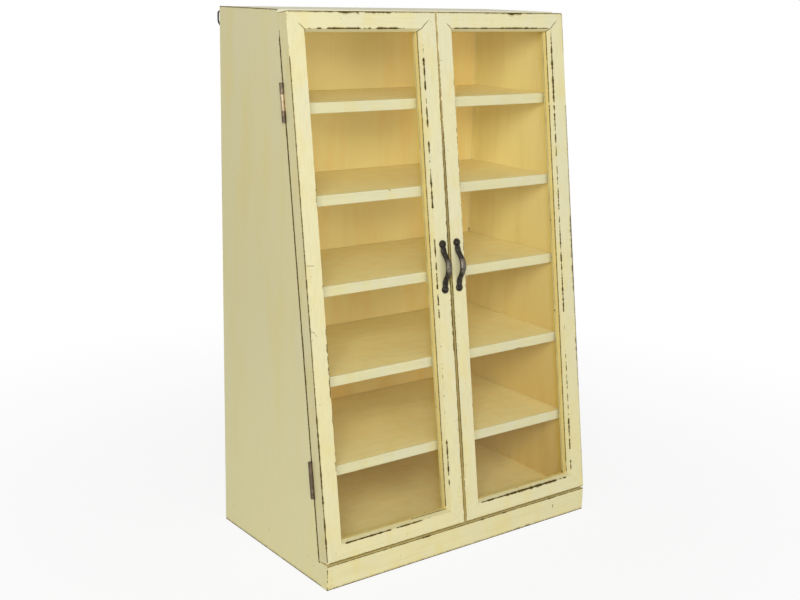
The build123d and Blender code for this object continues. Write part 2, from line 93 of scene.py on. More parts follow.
class Value:
    """A number or a vector inside a material, with plain arithmetic that lays down Math nodes."""

    def __init__(self, shader, socket):
        self.shader = shader
        self.socket = socket

    def math(self, operation, *others):
        node = self.shader.put("ShaderNodeMath", operation=operation)
        for socket, value in zip(node.inputs, (self, *others)):
            self.shader.join(socket, value)
        return Value(self.shader, node.outputs[0])

    def __add__(self, other):
        return self.math("ADD", other)

    __radd__ = __add__

    def __mul__(self, other):
        return self.math("MULTIPLY", other)

    __rmul__ = __mul__

    def __sub__(self, other):
        return self.math("SUBTRACT", other)

    def __rsub__(self, other):
        return self * -1 + other

    def __abs__(self):
        return self.math("ABSOLUTE")

    def root(self):
        return self.math("SQRT")

    def least(self, other):
        return self.math("MINIMUM", other)

    def most(self, other):
        return self.math("MAXIMUM", other)

    def rise(self, low, high):
        """0 below low, 1 above high, and smooth between."""
        node = self.shader.put("ShaderNodeMapRange", interpolation_type="SMOOTHSTEP")
        for name, value in (("Value", self), ("From Min", low), ("From Max", high)):
            self.shader.join(node.inputs[name], value)
        return Value(self.shader, node.outputs["Result"])

    def fall(self, low, high):
        """1 below low, 0 above high, and smooth between."""
        return 1 - self.rise(low, high)


class Shader:
    """One node material, laid down by short calls."""

    def __init__(self, name):
        self.material = bpy.data.materials.new(name)
        self.material.use_nodes = True
        self.tree = self.material.node_tree
        self.tree.nodes.clear()
        place = self.put("ShaderNodeTexCoord").outputs["Object"]
        scaled = self.put("ShaderNodeVectorMath", operation="SCALE")
        self.join(scaled.inputs["Vector"], place)
        scaled.inputs["Scale"].default_value = MM
        self.place = Value(self, scaled.outputs["Vector"])
        parts = self.put("ShaderNodeSeparateXYZ")
        self.join(parts.inputs[0], self.place)
        self.x, self.y, self.z = (Value(self, socket) for socket in parts.outputs)

    def put(self, kind, **settings):
        node = self.tree.nodes.new(kind)
        for name, value in settings.items():
            setattr(node, name, value)
        return node

    def join(self, socket, value):
        if isinstance(value, Value):
            self.tree.links.new(value.socket, socket)
        elif isinstance(value, bpy.types.NodeSocket):
            self.tree.links.new(value, socket)
        elif isinstance(value, (tuple, list)) and len(socket.default_value) == 4:
            socket.default_value = (*value, 1)
        else:
            socket.default_value = value

    def along(self, direction, origin=(0, 0, 0)):
        """Distance of the place from origin along direction."""
        shift = self.put("ShaderNodeVectorMath", operation="SUBTRACT")
        self.join(shift.inputs[0], self.place)
        self.join(shift.inputs[1], tuple(origin))
        dot = self.put("ShaderNodeVectorMath", operation="DOT_PRODUCT")
        self.join(dot.inputs[0], shift.outputs[0])
        self.join(dot.inputs[1], tuple(direction))
        return Value(self, dot.outputs["Value"])

    def stretched(self, x, y, z):
        """The place with each direction's features made that many millimetres long."""
        node = self.put("ShaderNodeVectorMath", operation="MULTIPLY")
        self.join(node.inputs[0], self.place)
        self.join(node.inputs[1], (1 / x, 1 / y, 1 / z))
        return Value(self, node.outputs[0])

    def noise(self, place, detail=2.0, roughness=0.5):
        node = self.put("ShaderNodeTexNoise")
        self.join(node.inputs["Vector"], place)
        for name, value in (("Scale", 1.0), ("Detail", detail), ("Roughness", roughness)):
            node.inputs[name].default_value = value
        return Value(self, node.outputs["Fac"])

    def line_noise(self, place, size, seed):
        """Noise that changes only along one line, with features of that size."""
        node = self.put("ShaderNodeTexNoise", noise_dimensions="1D")
        self.join(node.inputs["W"], place * (1 / size) + seed)
        for name, value in (("Scale", 1.0), ("Detail", 2.0), ("Roughness", 0.6)):
            node.inputs[name].default_value = value
        return Value(self, node.outputs["Fac"])

    def spans(self, place, length, stretches):
        """How worn a line is at a place on it, from (start, end, wear) stretches."""
        node = self.put("ShaderNodeValToRGB")
        node.color_ramp.interpolation = "CONSTANT"
        self.join(node.inputs[0], place * (1 / length))
        elements = node.color_ramp.elements
        elements[0].color = (0, 0, 0, 1)
        elements.remove(elements[1])
        end_before = 0
        for start, end, wear in stretches:
            if start <= end_before:
                elements[-1].color = (wear, wear, wear, 1)
            else:
                elements.new(start / length).color = (wear, wear, wear, 1)
            elements.new(end / length).color = (0, 0, 0, 1)
            end_before = end
        return Value(self, node.outputs[0])

    def mix(self, share, first, second):
        """A colour between two others. The node has sockets for every type of value, and 6, 7 and
        the output 2 are the ones for colours."""
        node = self.put("ShaderNodeMix", data_type="RGBA")
        for socket, value in ((0, share), (6, first), (7, second)):
            self.join(node.inputs[socket], value)
        return node.outputs[2]

    def bump(self, height, distance):
        """Surface direction from a height between 0 and 1, where 1 is distance millimetres."""
        node = self.put("ShaderNodeBump")
        self.join(node.inputs["Height"], height)
        node.inputs["Distance"].default_value = distance / MM
        return node.outputs[0]

    def surface(self, **inputs):
        """A Principled surface; names are the sockets' own, with _ for a space."""
        node = self.put("ShaderNodeBsdfPrincipled")
        for name, value in inputs.items():
            self.join(node.inputs[name.replace("_", " ")], value)
        return node.outputs[0]

    def show(self, closure):
        self.join(self.put("ShaderNodeOutputMaterial").inputs["Surface"], closure)
        return self.material


# ---- wear ----
class Wear:
    """Bare wood and the thin, rubbed paint round it, as two masks."""

    def __init__(self, bare, rubbed):
        self.bare = bare
        self.rubbed = rubbed

    def most(self, other):
        return Wear(self.bare.most(other.bare), self.rubbed.most(other.rubbed))


def worn_line(shader, distance, place, strength, seed, reach=1.0, tooth=0.3):
    """Wear on one arris: a dark line that swells, tapers and breaks into dashes where it is weak.
    tooth is how ragged its sides are, in millimetres."""
    slow = shader.line_noise(place, 9.0, seed).rise(0.3, 0.7)
    present = (slow * 0.5 + strength).rise(0.60, 0.80)
    width = strength * strength * (slow * (tooth + 0.5) + 1.2 - tooth * 0.4) * present * reach
    ragged = shader.noise(shader.stretched(2.3, 2.3, 2.3), detail=2, roughness=0.6) - 0.5
    distance = distance + ragged * tooth * 2
    line = (width - distance).rise(0.0, 0.3) * width.rise(0.05, 0.25)
    return Wear(line, (width * 1.8 - distance).rise(-0.1, 0.9) * present)


def thin_line(shader, distance, place, strength, seed):
    """A hairline of bare wood that runs almost unbroken along an arris."""
    slow = shader.line_noise(place, 11.0, seed + 12.3)
    ragged = shader.line_noise(place, 2.2, seed + 5.9)
    width = (slow + strength).rise(0.72, 0.95) * (ragged * 0.9 + slow * 0.5 + 0.25) * strength
    return Wear((width - distance).rise(0.0, 0.25), (width * 2.2 - distance).rise(0.0, 0.8))


def random_strength(shader, place, seed, level):
    """Wear strength along a line that the photograph doesn't show: mostly none, and weak dashes."""
    return shader.line_noise(place, 45.0, seed).rise(0.50, 0.70) * level


def wear_along(shader, place, length, stretches):
    """Wear strength along a line, with ragged, tapered ends to its stretches."""
    wobble = (shader.noise(shader.stretched(9, 9, 9)) - 0.5) * 5
    wobble = wobble + (shader.noise(shader.stretched(1.4, 1.4, 1.4), detail=1) - 0.5) * 3
    taps = [shader.spans(place + wobble + shift, length, stretches) for shift in (-1.3, 0.0, 1.3)]
    return (taps[0] + taps[1] + taps[2]) * (1 / 3)


def mark(shader, start, end, radius, strength=1.0):
    """A scratch or dent between two places."""
    a, b = Vector(start), Vector(end)
    run = b - a
    share = (shader.along(run / run.length_squared, a)).most(0.0).least(1.0)
    total = None
    for axis, place in enumerate((shader.x, shader.y, shader.z)):
        gap = place - (share * run[axis] + a[axis])
        total = gap * gap if total is None else total + gap * gap
    ragged = shader.noise(shader.stretched(1.2, 1.2, 1.2)) * radius
    distance = total.root() + ragged
    bare = distance.fall(radius * 0.9, radius * 1.5) * strength
    return Wear(bare, distance.fall(radius, radius * 2.2) * 0.5)


def paint(
    shader, grain, wear, inside=0.0, seams=None, dirt_and_shade=None, edge=None, dust_and_sheen=None, yellow=0.0,
    low=None, streaks=0.10, cloud=(48, 48, 110), blotch=(17, 17, 34), inner=INSIDE, painted_shade=0.0,
    patches=0.5,
):
    """Brushed cream paint over dark wood. grain, cloud and blotch are feature sizes along x, y and
    z; inside is how much the surface belongs to the case's inner coat, inner that coat's two
    colours, and the next two shares how much of the second it has evenly, as painted shade, and in
    blotches. seams, the dirt share, which is partly painted shade, edge, the dust share, which is
    partly painted sheen, yellow and low are shares of the colours laid over the coat."""
    cloud = shader.noise(shader.stretched(*cloud), detail=2)
    blotch = shader.noise(shader.stretched(*blotch), detail=3, roughness=0.55)
    streak = shader.noise(shader.stretched(*grain), detail=3, roughness=0.6)
    fine = shader.noise(shader.stretched(0.7, 0.7, 0.7), detail=2)
    coat = shader.mix(cloud.rise(0.40, 0.62), PAINT, PAINT_GREY)
    coat = shader.mix(blotch.rise(0.48, 0.68) * 0.6 + yellow, coat, PAINT_YELLOW)
    if low is not None:
        coat = shader.mix(low, coat, PAINT_LOW)
    coat = shader.mix(inside, coat, shader.mix(blotch.rise(0.40, 0.70) * patches + painted_shade, *inner))
    coat = shader.mix(streak.rise(0.42, 0.70) * streaks, coat, RUBBED)
    coat = shader.mix(wear.rubbed * 0.45, coat, RUBBED)
    for share, colour in ((dust_and_sheen, DUST_AND_SHEEN), (dirt_and_shade, DIRT_AND_SHADE), (edge, GOLDEN_EDGE), (seams, OLIVE_GAP)):
        if share is not None:
            coat = shader.mix(share, coat, colour)
    fringe = shader.noise(shader.stretched(1.3, 1.3, 1.3), detail=1)
    wood = shader.mix(fringe.rise(0.45, 0.62), BARE_WOOD, BARE_WOOD_PALE)
    coat = shader.mix(wear.bare, coat, wood)
    height = streak * 0.35 + fine * 0.15 - wear.bare * 0.8
    return shader.show(
        shader.surface(
            Base_Color=coat,
            Roughness=wear.bare * 0.3 + fine * 0.12 + 0.42,
            Specular_IOR_Level=0.2,
            Normal=shader.bump(height, 0.12),
        )
    )


# Worn stretches of the doors' arrises: (start, end, wear) in millimetres along the member, which
# runs up the slope for a stile and to the right for a rail, from the door's own lower left corner.
WORN_DOOR_LINES = {
    ("left", "hinge_stile", "outer"): [
        (2, 14, 0.5), (14, 50, 0.85), (50, 60, 0.6), (60, 72, 0.9), (76, 152, 0.85),
        (152, 178, 0.7), (178, 196, 0.5), (199, 206, 0.35), (208, 232, 0.65), (232, 300, 0.75),
        (300, 392, 0.7), (392, 420, 0.5), (424, 470, 0.42),
    ],
    ("left", "hinge_stile", "rear"): [
        (16, 60, 0.6), (60, 90, 0.8), (90, 180, 0.6), (180, 230, 0.8), (230, 396, 0.55),
        (396, 460, 0.75), (460, 522, 0.5),
    ],
    ("left", "hinge_stile", "flat"): [
        (88, 102, 0.6), (108, 128, 0.45), (132, 158, 0.5), (162, 236, 0.70), (240, 262, 0.35),
        (268, 284, 0.5), (330, 346, 0.42), (354, 376, 0.55), (394, 404, 0.42),
    ],
    ("left", "hinge_stile", "sight"): [(88, 158, 0.4), (162, 236, 0.6), (240, 410, 0.36)],
    ("left", "meeting_stile", "outer"): [
        (2, 60, 0.55), (60, 120, 0.72), (120, 190, 0.7), (190, 330, 0.97), (330, 400, 0.85),
        (400, 428, 0.72), (428, 463, 0.8), (463, 500, 0.6), (500, 542, 0.45),
    ],
    ("left", "meeting_stile", "flat"): [
        (42, 60, 0.65), (60, 94, 0.75), (94, 200, 0.36), (226, 238, 0.7), (240, 254, 0.75),
        (256, 276, 0.75), (278, 312, 0.68), (316, 342, 0.32), (342, 376, 0.8), (376, 396, 0.5),
        (398, 414, 0.75), (424, 440, 0.75), (440, 460, 0.62), (462, 474, 0.7), (476, 498, 0.85),
        (500, 512, 0.55),
    ],
    ("right", "meeting_stile", "flat"): [
        (92, 108, 0.45), (116, 144, 0.40), (180, 190, 0.42), (254, 300, 0.5), (300, 360, 0.45),
        (358, 424, 0.55), (424, 452, 0.42), (466, 486, 0.5),
    ],
    ("right", "hinge_stile", "flat"): [
        (22, 36, 0.85), (46, 60, 0.8), (62, 84, 0.78), (86, 164, 0.55), (164, 204, 0.36),
        (208, 236, 0.76), (236, 300, 0.70), (300, 320, 0.6), (324, 352, 0.66), (352, 380, 0.58),
        (384, 412, 0.66), (414, 444, 0.72), (446, 508, 0.82), (508, 526, 0.60),
    ],
    ("right", "hinge_stile", "outer"): [
        (38, 62, 0.8), (96, 124, 0.7), (124, 150, 0.8), (150, 178, 1.1), (184, 230, 0.9),
        (230, 318, 1.2), (318, 372, 0.9), (378, 440, 0.8),
    ],
    ("right", "hinge_stile", "rear"): [(20, 230, 0.6), (260, 500, 0.5)],
    ("left", "top_rail", "outer"): [
        (2, 24, 0.5), (24, 54, 0.9), (58, 84, 1.15), (90, 123, 1.05), (123, 176, 0.7),
    ],
    ("left", "top_rail", "flat"): [
        (22, 27, 0.6), (31, 40, 0.75), (44, 84, 0.85), (87, 92, 0.7), (93, 99, 0.75),
        (102, 130, 0.88), (130, 138, 0.6),
    ],
    ("right", "top_rail", "outer"): [
        (6, 24, 0.6), (24, 66, 0.7), (66, 98, 0.9), (98, 120, 1.25), (120, 145, 0.85),
        (145, 176, 0.75),
    ],
    ("right", "top_rail", "flat"): [
        (22, 74, 0.74), (74, 88, 0.7), (88, 130, 0.84), (130, 149, 0.72), (152, 162, 0.36),
    ],
    ("left", "bottom_rail", "flat"): [
        (22, 81, 0.82), (87, 122, 0.78), (130, 134, 0.5), (152, 158, 0.36),
    ],
    ("right", "bottom_rail", "flat"): [
        (23, 60, 0.82), (60, 140, 1.0), (142, 146, 0.7), (147, 154, 0.85),
    ],
    ("left", "bottom_rail", "outer"): [(2, 178, 0.62)],
    ("right", "bottom_rail", "outer"): [(2, 178, 0.62)],
}
# The same for hairlines, which are thin but hardly broken.
THIN_DOOR_LINES = {
    ("left", "hinge_stile", "outer"): [(2, 500, 0.75), (500, 540, 0.4)],
    ("left", "hinge_stile", "rear"): [(2, 526, 0.65)],
    ("left", "meeting_stile", "outer"): [(2, 180, 0.5), (180, 440, 0.75), (440, 542, 0.5)],
    ("left", "meeting_stile", "sight"): [(20, 524, 0.62)],
    ("right", "meeting_stile", "outer"): [(2, 60, 0.5), (60, 420, 0.78), (420, 542, 0.5)],
    ("right", "meeting_stile", "sight"): [(24, 224, 0.42), (254, 486, 0.5)],
    ("right", "hinge_stile", "sight"): [(20, 524, 0.62)],
    ("right", "hinge_stile", "outer"): [
        (12, 118, 0.75), (118, 440, 1.2), (440, 500, 0.4), (500, 543, 0.95),
    ],
    ("left", "top_rail", "outer"): [(1, 179, 0.95)],
    ("right", "top_rail", "outer"): [(1, 179, 1.0)],
    ("right", "top_rail", "flat"): [(22, 158, 0.6)],
    ("left", "bottom_rail", "outer"): [(2, 178, 0.9)],
    ("left", "bottom_rail", "sight"): [(110, 160, 0.6)],
    ("right", "bottom_rail", "outer"): [(2, 178, 0.9)],
}
MITRE_HALF_LINE = 0.55
# How far from the door's upper or lower edge a mitre's gap begins to show, and is fully open.
LEFT_MITRE_OPENS = (10, 14)
RIGHT_MITRE_OPENS = (6, 12)
DOOR_MARKS = {
    ("left", "hinge_stile"): [
        ((-179.0, 301.5), (-170.0, 300.5), 0.35),
        ((-178.8, 236.7), (-175.0, 235.0), 0.35),
        ((-175.0, 235.0), (-172.5, 230.7), 0.30),
    ],
    ("left", "bottom_rail"): [((-169.0, 8.7), (-169.0, 9.4), 0.5)],
}
# Where the left door's meeting edge has lost its paint: from, to up the slope.
MEETING_PATCH = (428, 463)


def on_door(x, up):
    return DOOR_FOOT + Vector((x, 0, 0)) + UP_SLOPE * up


def door_paint(side, sign, member):
    """Paint for one member of a door frame, worn along the arrises of its section."""
    shader = Shader(f"paint_door_{side}_{member}")
    up = shader.along(UP_SLOPE, DOOR_FOOT)
    depth = shader.along(-OUT_OF_DOOR, DOOR_FOOT)
    across = shader.x * sign
    from_hinge = HALF_WIDTH - across
    taper = (MEETING_HALF_GAP_BOTTOM - MEETING_HALF_GAP_TOP) / DOOR_LENGTH
    from_meeting = across - MEETING_HALF_GAP_TOP
    meeting_edge = from_meeting - (DOOR_LENGTH - up) * taper
    from_end = up.least(DOOR_LENGTH - up)
    if member.endswith("stile"):
        inward = from_hinge if member == "hinge_stile" else from_meeting
        edge = from_hinge if member == "hinge_stile" else meeting_edge
        share, length, place = 1.0, DOOR_LENGTH, up
        grain = DOOR_BRUSHED_UPRIGHT
    else:
        inward = edge = from_end
        share, length = RAIL_SHARE, HALF_WIDTH
        place = shader.x + (HALF_WIDTH if sign < 0 else 0)
        grain = DOOR_BRUSHED_ACROSS

    wear = None
    arrises = {
        "outer": (edge, 0.0),
        "flat": (inward - share * FLAT_WIDTH, 0.0),
        "sight": (inward - share * SIGHT_WIDTH, BEVEL_DEPTH),
        "rear": (edge, DOOR_THICKNESS),
    }
    wobble = (shader.noise(shader.stretched(9, 9, 9)) - 0.5) * 5
    for number, (name, (gap, level)) in enumerate(arrises.items()):
        seed = number * 7.3 + len(member) + (0.0 if sign < 0 else 50.0)
        drop = depth - level
        distance = (gap * gap + drop * drop).root()
        stretches = WORN_DOOR_LINES.get((side, member, name))
        strength = random_strength(shader, place, seed + 3.1, 0.5)
        if stretches:
            strength = strength.least(0.2).most(wear_along(shader, place, length, stretches))
        tooth = 0.8 if name == "flat" and member.endswith("stile") else 0.25
        reach = 0.6 if name == "sight" else 1.0
        line = worn_line(shader, distance, place, strength, seed, reach, tooth)
        wear = line if wear is None else wear.most(line)
        stretches = THIN_DOOR_LINES.get((side, member, name))
        if stretches:
            strength = shader.spans(place + wobble, length, stretches)
            wear = wear.most(thin_line(shader, distance, place, strength, seed))
    if member == "hinge_stile":
        upper_arris = (from_hinge * from_hinge + (DOOR_LENGTH - up) * (DOOR_LENGTH - up)).root()
        wear = wear.most(thin_line(shader, upper_arris, depth, 0.8, 41.0))
    knocked = shader.noise(shader.stretched(30, 30, 30), detail=1).rise(0.48, 0.62)
    flecks = shader.noise(shader.stretched(1.5, 1.5, 1.5), detail=1).rise(0.70, 0.75)
    flecks = flecks * knocked * abs(edge).fall(3, 12) * depth.fall(0.1, 0.4) * 0.7
    wear = wear.most(Wear(flecks, flecks))
    for start, end, radius in DOOR_MARKS.get((side, member), []):
        wear = wear.most(mark(shader, on_door(*start), on_door(*end), radius, 0.7))

    # The mitres have opened to hairlines, most of all near the glass and at the top of the door.
    bent = (shader.noise(shader.stretched(14, 14, 14), detail=1) - 0.5) * 1.4
    mitre_gap = abs(from_hinge.least(from_meeting) * RAIL_SHARE - from_end + bent)
    right_hand = shader.x.rise(sign * HALF_WIDTH / 2 - 1, sign * HALF_WIDTH / 2 + 1)
    opened = (1 - right_hand) * from_end.rise(*LEFT_MITRE_OPENS)
    opened = opened + right_hand * from_end.rise(*RIGHT_MITRE_OPENS)
    opened = opened * (up.rise(DOOR_LENGTH / 2, DOOR_LENGTH / 2 + 1) * 0.9 + 0.1)
    seams = mitre_gap.fall(MITRE_HALF_LINE * 0.5, MITRE_HALF_LINE * 1.5) * opened
    seams = seams * depth.fall(BEVEL_DEPTH + 1, BEVEL_DEPTH + 2)

    lip = (inward - share * SIGHT_WIDTH).rise(-0.4, -0.1)
    lip = lip * depth.rise(BEVEL_DEPTH - 0.5, BEVEL_DEPTH + 0.5)
    rear_face = depth.rise(DOOR_THICKNESS - 0.4, DOOR_THICKNESS - 0.1)
    inside = (lip * 0.9).most(rear_face * 0.45)
    # The lip's face round the glass is made a little darker.
    darker_lip = abs(inward - share * SIGHT_WIDTH).fall(0.0, 2.0)
    darker_lip = darker_lip * depth.rise(BEVEL_DEPTH, LIP_DEPTH) * 0.10
    yellower = (inward - share * FLAT_WIDTH).rise(-0.5, 1.0) * 0.35
    yellower = yellower.most(up.fall(100, 480) * 0.25)
    if member == "hinge_stile":
        yellower = yellower.most(from_hinge.fall(0.1, 0.4) * depth.rise(0.2, 0.6) * 0.4)
    # The door's top face gets the pale dust colour, which is partly painted sheen.
    upper_face = (DOOR_LENGTH - up).fall(0.1, 0.4) * depth.rise(0.2, 0.6) * 0.8
    golden = None
    if member == "meeting_stile":
        rubbed_through = shader.noise(shader.stretched(3, 3, 14), detail=2)
        meeting_face = meeting_edge.fall(0.15, 0.5) * depth.rise(0.1, 0.5)
        golden = meeting_face * (rubbed_through.rise(0.3, 0.5) * 0.4 + 0.6)
        if side == "left":
            patch = (up + wobble).rise(MEETING_PATCH[0] - 1, MEETING_PATCH[0] + 2)
            patch = patch * (up + wobble).fall(MEETING_PATCH[1] - 2, MEETING_PATCH[1] + 1)
            golden = golden.most(patch * (meeting_edge + wobble * 0.2).fall(0.9, 1.5) * 0.9)
    return paint(
        shader, grain, wear, inside, seams=seams, dirt_and_shade=darker_lip, edge=golden, dust_and_sheen=upper_face,
        yellow=yellower,
    )


# ---- carcass ----
def box_edges(shader, low, high):
    """Distance from the nearest edge of a board with square corners."""
    gaps = []
    for place, start, end in zip((shader.x, shader.y, shader.z), low, high):
        gaps.append(abs((place - start).least(end - place)))
    return middle_one(*gaps)


def middle_one(a, b, c):
    return a.most(b).least(a.least(b).most(c))


def corners(node):
    low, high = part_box(node)
    return low * MM, high * MM


def random_wear(shader, edge_distance, level, seed):
    """Wear on every edge of a board, from noise in space."""
    where = shader.noise(shader.stretched(38, 38, 38), detail=1)
    broken = shader.noise(shader.stretched(4, 4, 4), detail=2)
    strength = (where + seed).rise(0.55, 0.75) * level
    width = strength * (broken * 3.0 - 0.6)
    bare = (width - edge_distance).rise(0.0, 0.4)
    return Wear(bare, (width * 2.2 - edge_distance).rise(0.0, 0.9))


def line_wear(shader, first, second, place, length, stretches, hairline, seed):
    """Wear on the one edge where two faces meet, given the distances from them, with a hairline
    of that strength along all of it."""
    distance = (first * first + second * second).root()
    thick = worn_line(shader, distance, place, wear_along(shader, place, length, stretches), seed)
    hairline_strength = shader.spans(place, length, [(0, length, hairline)])
    return thick.most(thin_line(shader, distance, place, hairline_strength, seed))


def marked(shader, wear, y, marks):
    """The wear with knocks added on a board's front, each a start and an end as (x, z), a radius
    and a strength."""
    for (x, z), (end_x, end_z), radius, strength in marks:
        wear = wear.most(mark(shader, (x, y, z), (end_x, y, end_z), radius, strength))
    return wear


PLINTH_MARKS = [
    ((-180.0, 0.2), (-176.5, 0.3), 0.4, 0.8),
    ((131.2, 14.0), (131.4, 17.0), 0.7, 1.0),
    ((-88.0, 14.0), (-88.0, 14.4), 0.5, 0.5),
]
SHELF_MARKS = {
    2: [((-62.5, 389.0), (-60.5, 388.2), 0.7, 0.7)],
    4: [((101.0, 198.6), (108.0, 198.6), 1.1, 1.0)],
}
BACK_MARKS = [((163.0, 301.5), (162.5, 304.0), 1.2, 0.6)]
# Flecks on the left side's outer face and on the right side's inner face: y, z and radius.
LEFT_SIDE_FLECKS = [(-80.2, 22.0, 0.6), (-81.6, 17.3, 0.6), (-98.4, 4.5, 0.5)]
RIGHT_WALL_FLECKS = [(11.1, 315.4, 0.9), (27.1, 211.5, 0.8), (28.2, 32.8, 1.6), (6.7, 32.6, 1.4)]
# Worn stretches as (start, end, wear): from the case's left end for the plinth, from the floor for
# its corners, and from the front for the sides.
PLINTH_BOTTOM_WEAR = [
    (2, 8, 0.6), (192, 204, 0.6), (230, 244, 0.7), (250, 276, 1.1), (276, 300, 0.8),
]
PLINTH_HAIRLINES = (1.4, 0.7)  # along its bottom and its top
PLINTH_TOP_WEAR = [
    (2, 6, 0.6), (118, 134, 0.85), (200, 207, 0.8), (232, 240, 0.85), (268, 274, 0.8),
    (300, 314, 0.8),
]
PLINTH_CORNER_WEAR = [(0, 4, 0.6), (4, 26, 0.62)]
SIDE_BOTTOM_WEAR = [(48, 76, 0.9), (114, 126, 0.8), (196, 202, 0.7)]
SIDE_TOP_WEAR = [(70, 78, 0.5), (86, 92, 0.7)]
# Up the slope, over what lengths the dark line where a side meets its door fades in and out.
JOINT_LINE_BEGINS = (-3, -1)
JOINT_LINE_ENDS = (516, 526)


def plinth_paint():
    shader = Shader("paint_plinth_front")
    low, high = corners("plinth_front")
    wear = random_wear(shader, box_edges(shader, low, high), 0.35, 0.0)
    along = shader.x + HALF_WIDTH
    front = shader.y - low.y
    width = 2 * HALF_WIDTH
    lines = ((low.z, PLINTH_BOTTOM_WEAR), (high.z, PLINTH_TOP_WEAR))
    for (height, stretches), hairline in zip(lines, PLINTH_HAIRLINES):
        gap = shader.z - height
        seed = 4.0 + height
        wear = wear.most(line_wear(shader, front, gap, along, width, stretches, hairline, seed))
    for end, seed in ((along, 17.0), (HALF_WIDTH - shader.x, 23.0)):
        line = line_wear(shader, front, end, shader.z, PLINTH_TOP, PLINTH_CORNER_WEAR, 0.3, seed)
        wear = wear.most(line)
    wear = marked(shader, wear, FRONT_Y, PLINTH_MARKS)
    # The plinth's top face, in the gap under the doors, gets more than half of the inner coat's
    # golden colour, toned down a little with the brown.
    upper_face = shader.z.rise(PLINTH_TOP - 0.2, PLINTH_TOP - 0.05)
    end_face = (HALF_WIDTH - abs(shader.x)).fall(0.1, 0.4)
    return paint(
        shader, DOOR_BRUSHED_ACROSS, wear, upper_face * 0.6, dirt_and_shade=upper_face * 0.12, yellow=0.35,
        low=end_face * 0.55,
    )


def settled_dust_and_sheen(shader):
    """Dust over the whole top of the case, the top board and the ends of the sides alike, in a pale
    colour that is partly painted sheen.
    """
    patches = shader.noise(shader.stretched(40, 40, 40), detail=3).rise(0.3, 0.6)
    return shader.z.rise(CASE_HEIGHT - 0.5, CASE_HEIGHT - 0.2) * (patches * 0.4 + 0.45)


def side_paint(side, sign):
    shader = Shader(f"paint_side_panel_{side}")
    low, high = corners(f"side_panel_{side}")
    outer_gap = HALF_WIDTH - shader.x * sign
    back_gap = high.y - shader.y
    depth = shader.along(-OUT_OF_DOOR, DOOR_FOOT)
    front_gap = abs(depth - JOINT_DEPTH)
    ends = shader.z.least(CASE_HEIGHT - shader.z)
    edge = middle_one(ends, back_gap.least(front_gap), abs(outer_gap))
    wear = random_wear(shader, edge, 0.45, -0.02 if sign < 0 else 0.03)
    along = shader.y - low.y
    reach = high.y - low.y
    for height, stretches, hairline, seed in (
        (0.0, SIDE_BOTTOM_WEAR, 1.45, 14.0), (CASE_HEIGHT, SIDE_TOP_WEAR, 0.85, 19.0),
    ):
        gap = shader.z - height
        wear = wear.most(line_wear(shader, outer_gap, gap, along, reach, stretches, hairline, seed))
    up = shader.along(UP_SLOPE, DOOR_FOOT)
    joint_strength = up.rise(*JOINT_LINE_BEGINS) * up.fall(*JOINT_LINE_ENDS)
    joint_distance = (outer_gap * outer_gap + front_gap * front_gap).root()
    wear = wear.most(thin_line(shader, joint_distance, up, joint_strength, 21.0))
    if sign < 0:
        for y, z, radius in LEFT_SIDE_FLECKS:
            start, end = (-HALF_WIDTH, y, z), (-HALF_WIDTH, y, z + 0.5)
            wear = wear.most(mark(shader, start, end, radius, 0.15))
    else:
        for y, z, radius in RIGHT_WALL_FLECKS:
            start, end = (INNER_HALF_WIDTH, y, z), (INNER_HALF_WIDTH, y + 1.0, z + 1.5)
            wear = wear.most(mark(shader, start, end, radius * 0.8, 0.15))
    inside = (shader.x * sign).fall(INNER_HALF_WIDTH + 0.5, INNER_HALF_WIDTH + 2)
    # The side's front edge above the door gets the same pale dust colour, partly painted sheen.
    above_door = up.rise(DOOR_LENGTH, DOOR_LENGTH + 0.5) * front_gap.fall(0.2, 0.5)
    dust_and_sheen = settled_dust_and_sheen(shader).most(above_door * 0.8)
    inner, painted_shade, patches = INSIDE, 0.0, 0.5
    if sign > 0:
        inner, patches = INSIDE_RIGHT, 0.2
        # Painted shade: more of the right wall's darker, more orange colour towards the bottom and
        # the front.
        painted_shade = shader.z.fall(80, 430) * 0.5 + shader.y.fall(-40, 80) * 0.35
    return paint(
        shader, BRUSHED_UPRIGHT, wear, inside, dust_and_sheen=dust_and_sheen, yellow=0.42,
        low=shader.z.fall(30, 330) * 0.55, streaks=0.03, cloud=(45, 45, 240), blotch=(30, 30, 150),
        inner=inner, painted_shade=painted_shade, patches=patches,
    )


def shelf_paint(node, number):
    shader = Shader(f"paint_{node}")
    low, high = corners(node)
    wear = random_wear(shader, box_edges(shader, low, high), 0.22, 0.0)
    wear = marked(shader, wear, low.y, SHELF_MARKS.get(number, []))
    inside = (shader.y - low.y).rise(0.6, 2.6)
    # Painted shade where the shelf meets the side walls and the back panel; its front face is also
    # made a touch darker.
    dirt_and_shade = (INNER_HALF_WIDTH - abs(shader.x)).fall(0, 5) * 0.15
    dirt_and_shade = dirt_and_shade.most((high.y - shader.y).fall(0, 8) * 0.2)
    dirt_and_shade = dirt_and_shade.most((shader.y - low.y).fall(0.1, 0.4) * 0.05)
    return paint(shader, BRUSHED_ACROSS, wear, inside * 0.9, dirt_and_shade=dirt_and_shade, inner=INSIDE_SHELF)


def floor_board_paint():
    shader = Shader("paint_floor_panel")
    low, high = corners("floor_panel")
    wear = random_wear(shader, box_edges(shader, low, high), 0.22, 0.0)
    dirt_and_shade = shader.noise(shader.stretched(70, 60, 60), detail=2).rise(0.3, 0.7) * 0.08
    return paint(shader, BRUSHED_ACROSS, wear, 1.0, dirt_and_shade=dirt_and_shade, inner=INSIDE_SHELF)


